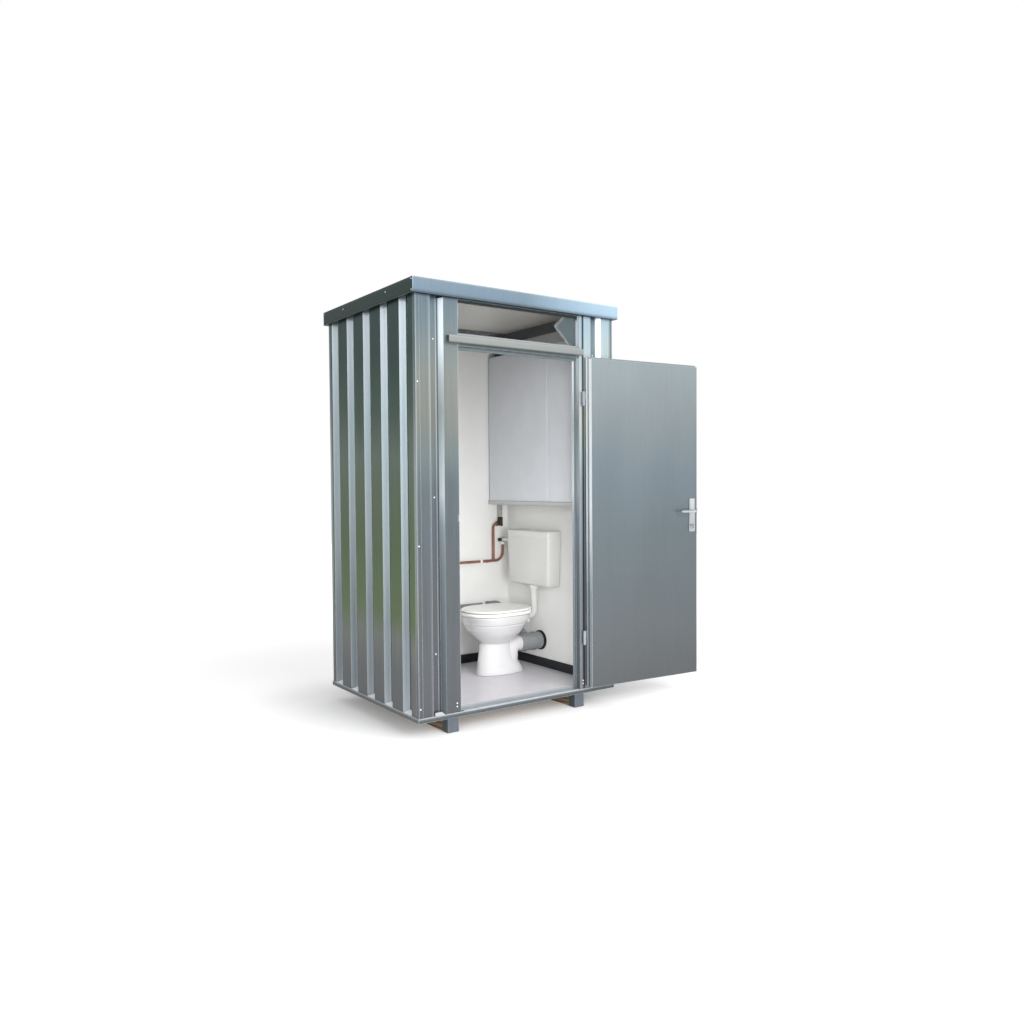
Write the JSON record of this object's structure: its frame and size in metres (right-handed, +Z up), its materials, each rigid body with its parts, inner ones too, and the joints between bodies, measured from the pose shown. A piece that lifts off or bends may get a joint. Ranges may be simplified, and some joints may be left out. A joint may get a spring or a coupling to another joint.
{
  "type": "sanitary container",
  "caption": "Site toilet cabin of trapezoid steel sheet on timber runners, with an open steel door, a transom window, a toilet, a raised water tank and a hand basin.",
  "frame": {"origin": "centre of the cabin's footprint on the ground, in the underside of the steel tie between the runners", "axes": "+X to the right along the front, +Y from the front to the back wall, +Z up"},
  "size_m": [2.035, 1.3026, 2.44],
  "materials": {
    "timber": "rough sawn, weathered",
    "galv_steel": "hot-dip galvanised, matt",
    "galv_sheet": "galvanised sheet, satin spangle",
    "plywood": "plain",
    "floor_vinyl": "smooth, slightly glossy",
    "laminate": "white melamine facing",
    "dark_trim": "satin",
    "black_rubber": "matt",
    "clear_sheet": "clear, smooth",
    "aluminium": "satin",
    "stainless": "brushed",
    "ceramic": "glossy white",
    "white_plastic": "glossy",
    "grey_plastic": "semi matt",
    "tank_plastic": "smooth",
    "black_plastic": "satin",
    "copper": "drawn copper",
    "brass": "plain brass",
    "chrome": "polished"
  },
  "bodies": {
    "cabin": {"runners": "timber", "runner_irons": "galv_steel", "frame_bolts": "galv_steel", "base_frame": "galv_steel", "floor_board": "plywood", "floor_covering": "floor_vinyl", "threshold": "aluminium", "side_sheets": "galv_sheet", "back_sheet": "galv_sheet", "front_sheets": "galv_sheet", "corner_trims": "galv_sheet", "door_frame": "galv_sheet", "door_seal": "black_rubber", "keep_plate": "stainless", "drip_rail": "aluminium", "transom_pane": "clear_sheet", "transom_bead": "aluminium", "roof_frame": "dark_trim", "roof_board": "laminate", "roof_sheet": "galv_sheet", "fascia": "galv_sheet", "wall_boards": "laminate", "skirtings": "dark_trim", "rivets": "galv_steel", "hinge_frame_leaves": "galv_steel", "hinge_pins": "stainless", "toilet_bowl": "ceramic", "seat_hinges": "white_plastic", "cistern_body": "white_plastic", "cistern_lid": "white_plastic", "flush_pipe": "white_plastic", "waste_pipe": "grey_plastic", "waste_collar": "black_rubber", "drain_pipe": "grey_plastic", "tank_body": "tank_plastic", "tank_shelf": "galv_steel", "copper_pipes": "copper", "brass_fittings": "brass", "hand_basin": "ceramic", "basin_tap": "chrome", "basin_trap": "white_plastic"},
    "door": {"hinge_door_leaves": "galv_steel", "door_outer": "galv_sheet", "door_core": "timber", "door_inner": "galv_sheet", "lock_case": "stainless", "door_plates": "stainless"},
    "lever_set": {"spindle": "stainless", "levers": "stainless"},
    "latch": {"latch_bolt": "stainless"},
    "turn": {"thumb_turn": "stainless"},
    "bolt": {"dead_bolt": "stainless"},
    "seat": {"toilet_seat": "white_plastic"},
    "lid": {"toilet_lid": "white_plastic"},
    "button": {"flush_button": "white_plastic"},
    "flush_lift": {"flush_valve": "white_plastic"},
    "cap": {"tank_cap": "black_plastic"},
    "tank_lever": {"tank_valve_lever": "black_plastic"},
    "cistern_knob": {"cistern_valve_knob": "black_plastic"},
    "tap_handle": {"tap_lever": "chrome"}
  },
  "joints": [
    {"name": "door_hinge", "type": "hinge", "parent": "cabin", "child": "door", "pos_m": [0.4483, -0.567, 1.1], "axis": [0, 0, 1], "range_deg": [-175.4, 3]},
    {"name": "lever_turn", "type": "hinge", "parent": "door", "child": "lever_set", "pos_m": [1.26503, -0.65679, 1.178], "axis": [-0.0802, -0.9968, 0], "range_deg": [0, 35], "stiffness_Nm_per_rad": 2.5, "springref_deg": -22.92},
    {"name": "latch_slide", "type": "slide", "parent": "door", "child": "latch", "axis": [-0.9968, 0.0802, 0], "range_m": [0, 0.012]},
    {"name": "thumb_turn_pivot", "type": "hinge", "parent": "door", "child": "turn", "pos_m": [1.26503, -0.65679, 1.083], "axis": [-0.0802, -0.9968, 0], "range_deg": [0, 90]},
    {"name": "bolt_slide", "type": "slide", "parent": "door", "child": "bolt", "axis": [0.9968, -0.0802, 0], "range_m": [0, 0.014]},
    {"name": "seat_hinge", "type": "hinge", "parent": "cabin", "child": "seat", "pos_m": [0.474, 0.121, 0.524], "axis": [0, 1, 0], "range_deg": [0, 92]},
    {"name": "lid_hinge", "type": "hinge", "parent": "seat", "child": "lid", "pos_m": [0.474, 0.121, 0.524], "axis": [0, -1, 0], "range_deg": [-92, 0]},
    {"name": "button_press", "type": "slide", "parent": "cabin", "child": "button", "axis": [0, 0, -1], "range_m": [0, 0.008], "stiffness_N_per_m": 400, "springref_m": -0.006},
    {"name": "flush_lift_slide", "type": "slide", "parent": "cabin", "child": "flush_lift", "axis": [0, 0, 1], "range_m": [0, 0.012]},
    {"name": "cap_turn", "type": "hinge", "parent": "cabin", "child": "cap", "pos_m": [0.5585, 0.432, 2.27], "axis": [0, 0, 1], "range_deg": [0, 180]},
    {"name": "tank_valve_turn", "type": "hinge", "parent": "cabin", "child": "tank_lever", "pos_m": [0.5585, 0.4652, 1.118], "axis": [0, -1, 0], "range_deg": [0, 90]},
    {"name": "cistern_valve_turn", "type": "hinge", "parent": "cabin", "child": "cistern_knob", "pos_m": [0.5535, 0.487, 0.966], "axis": [-1, 0, 0], "range_deg": [0, 270]},
    {"name": "tap_turn", "type": "hinge", "parent": "cabin", "child": "tap_handle", "pos_m": [-0.32, 0.487, 1.06], "axis": [0, 0, 1], "range_deg": [-60, 60]}
  ],
  "couplings": [
    {"joint": "latch_slide", "follows": "lever_turn", "m_per_rad": 0.0196},
    {"joint": "bolt_slide", "follows": "thumb_turn_pivot", "m_per_rad": 0.0089},
    {"joint": "flush_lift_slide", "follows": "button_press", "ratio": 1.45}
  ]
}
